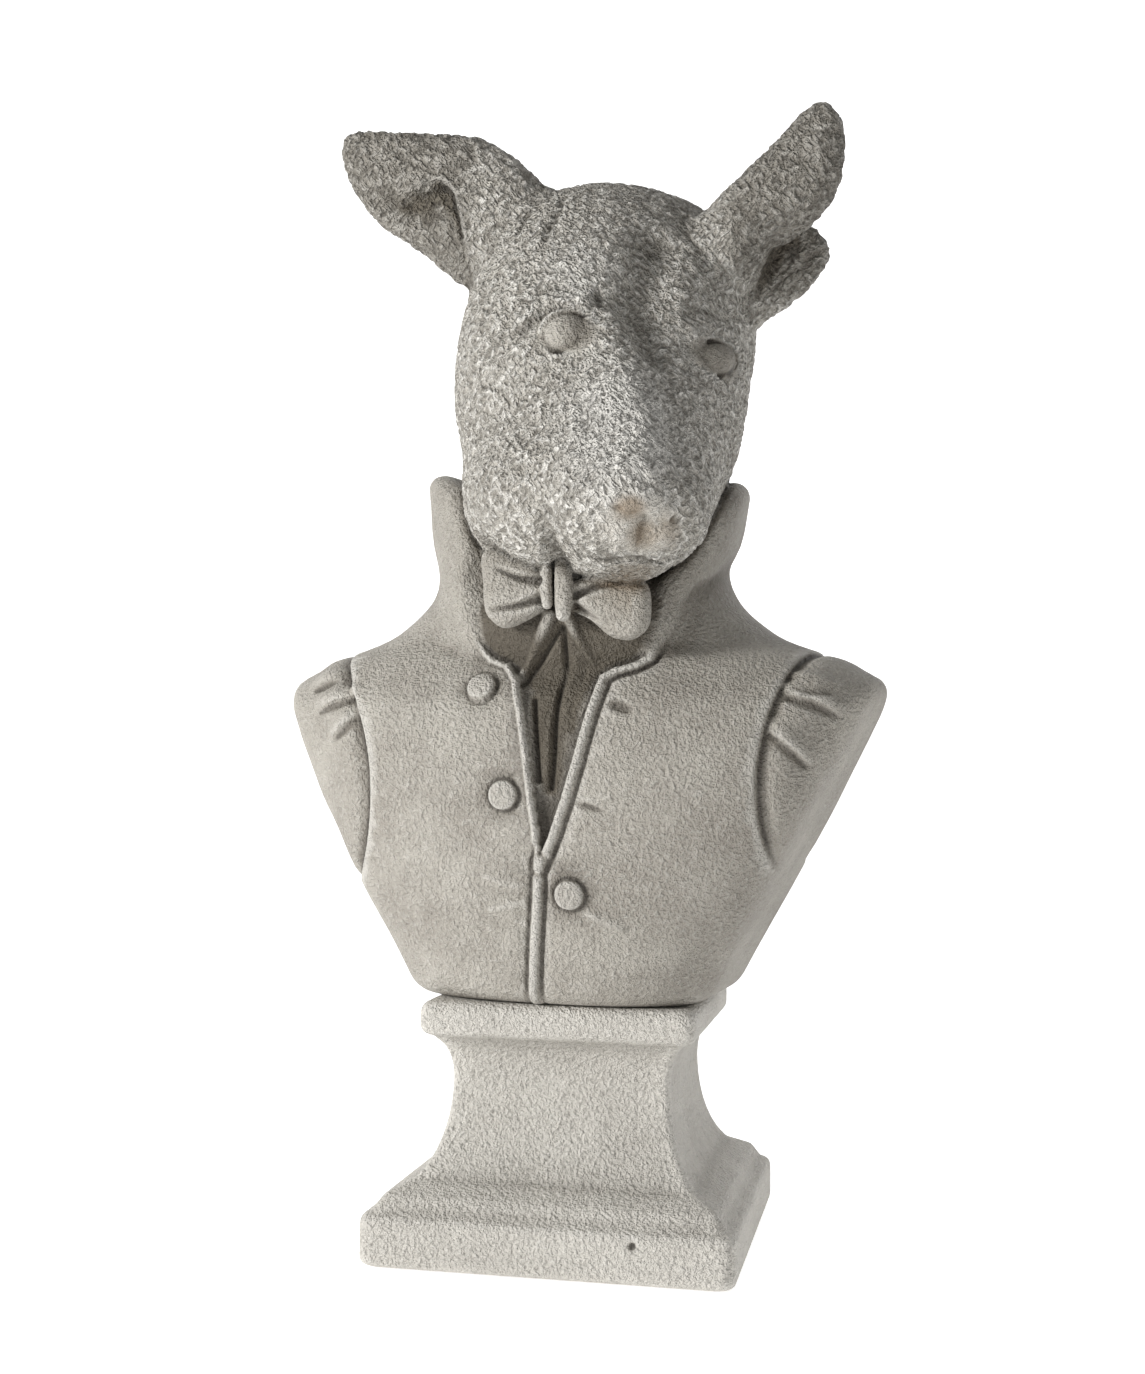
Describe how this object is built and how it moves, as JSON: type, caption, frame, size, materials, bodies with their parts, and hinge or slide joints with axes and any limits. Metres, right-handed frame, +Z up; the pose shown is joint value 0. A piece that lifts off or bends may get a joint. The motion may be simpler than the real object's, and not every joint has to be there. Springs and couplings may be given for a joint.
{
  "type": "dog portrait bust on plinth",
  "caption": "Cast cement garden bust of a dog in a waistcoat, stand-up collar and bow tie, standing on a loose moulded square plinth.",
  "frame": {"origin": "middle of the plinth's underside, on the ground", "axes": "+Z up, -Y towards the viewer in front of the plinth's front face, +X to the viewer's right; the bust is turned 6 degrees on the plinth and its head looks to the viewer's right"},
  "size_m": [0.326, 0.2597, 0.6108],
  "materials": {
    "cast_cement": null
  },
  "bodies": {
    "root": {"dog_bust": "cast_cement", "plinth": "cast_cement"}
  },
  "joints": []
}
